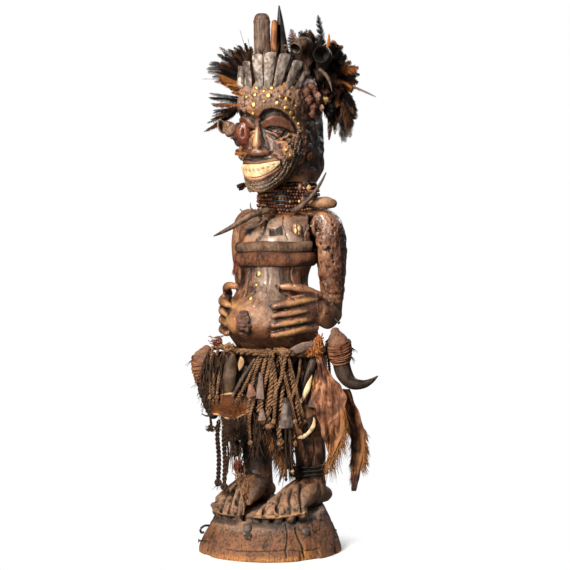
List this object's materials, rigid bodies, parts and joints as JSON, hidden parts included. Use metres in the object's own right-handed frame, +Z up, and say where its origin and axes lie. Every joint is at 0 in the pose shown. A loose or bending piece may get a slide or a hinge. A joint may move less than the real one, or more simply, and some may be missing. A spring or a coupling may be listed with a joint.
{
  "type": "carved wooden power figure",
  "caption": "Standing carved wooden power figure on a flaring round base, hung with horns, feathers, iron strips, a bead collar, ropes and hides.",
  "frame": {"origin": "centre of the round base's underside", "axes": "+Z up, -Y to the front, where the figure looks, and +X to the figure's left"},
  "size_m": [0.336, 0.2975, 0.9996],
  "materials": {
    "black_feather": "black and brown feathers",
    "black_horn": "dark worn horn",
    "bound_cord": "cord and hide strips wound tight",
    "brown_gourd": "dry shell and gourd skin",
    "cowrie_shell": "worn cowrie shell",
    "cream_bone": "cream bone",
    "dark_wood": "old, oiled and crusted hardwood",
    "forged_iron": "old forged iron sheet, brown-grey",
    "grey_horn": "grey-brown weathered horn",
    "hide_with_hair": "thin hide with some hair left",
    "old_leather": "old stiff leather",
    "plant_cord": "twisted plant fibre cord",
    "red_beads": "small dark red-brown beads on cord",
    "red_resin": "red-brown resin and clay charge",
    "woven_band": "dry red-brown hide band"
  },
  "bodies": {
    "root": {"amber_cup": "old_leather", "ankle_ring_1": "black_horn", "ankle_ring_2": "black_horn", "ankle_ring_3": "black_horn", "bead_collar": "red_beads", "bone_mouth_plate": "cream_bone", "brow_iron_plate": "forged_iron", "carved_figure": "dark_wood", "chest_band_lower": "woven_band", "chest_band_upper": "woven_band", "chest_cowrie": "cowrie_shell", "collar_gourd": "brown_gourd", "collar_horn_left": "grey_horn", "collar_horn_right": "grey_horn", "cream_horn_strip": "cream_bone", "cream_rim": "cream_bone", "dark_horn_piece": "black_horn", "feathers_back": "black_feather", "feathers_drooping": "black_feather", "feathers_left": "black_feather", "feathers_right": "black_feather", "fur_strip": "hide_with_hair", "iron_bell_plate": "forged_iron", "iron_strip_1": "forged_iron", "iron_strip_2": "forged_iron", "iron_strip_3": "forged_iron", "iron_strip_4": "forged_iron", "iron_strip_5": "forged_iron", "iron_strip_6": "forged_iron", "iron_strip_7": "forged_iron", "iron_strip_8": "forged_iron", "iron_strip_9": "forged_iron", "leather_oval": "old_leather", "left_hide": "hide_with_hair", "left_hip_binding": "bound_cord", "left_hip_horn": "grey_horn", "left_tail_strip": "hide_with_hair", "navel_charge": "red_resin", "open_mouth_horn": "black_horn", "resin_on_right_eye": "red_resin", "ridged_horn_stub": "grey_horn", "right_hip_binding": "bound_cord", "right_hip_horn": "grey_horn", "right_hip_tie": "plant_cord", "rope_1": "plant_cord", "rope_10": "plant_cord", "rope_2": "plant_cord", "rope_3": "plant_cord", "rope_4": "plant_cord", "rope_5": "plant_cord", "rope_6": "plant_cord", "rope_7": "plant_cord", "rope_8": "plant_cord", "rope_9": "plant_cord", "round_black_horn": "black_horn", "shell_on_right_eye": "brown_gourd", "tall_black_horn": "black_horn", "temple_charge": "red_resin", "waist_belt": "plant_cord", "waist_stick": "grey_horn"}
  },
  "joints": []
}
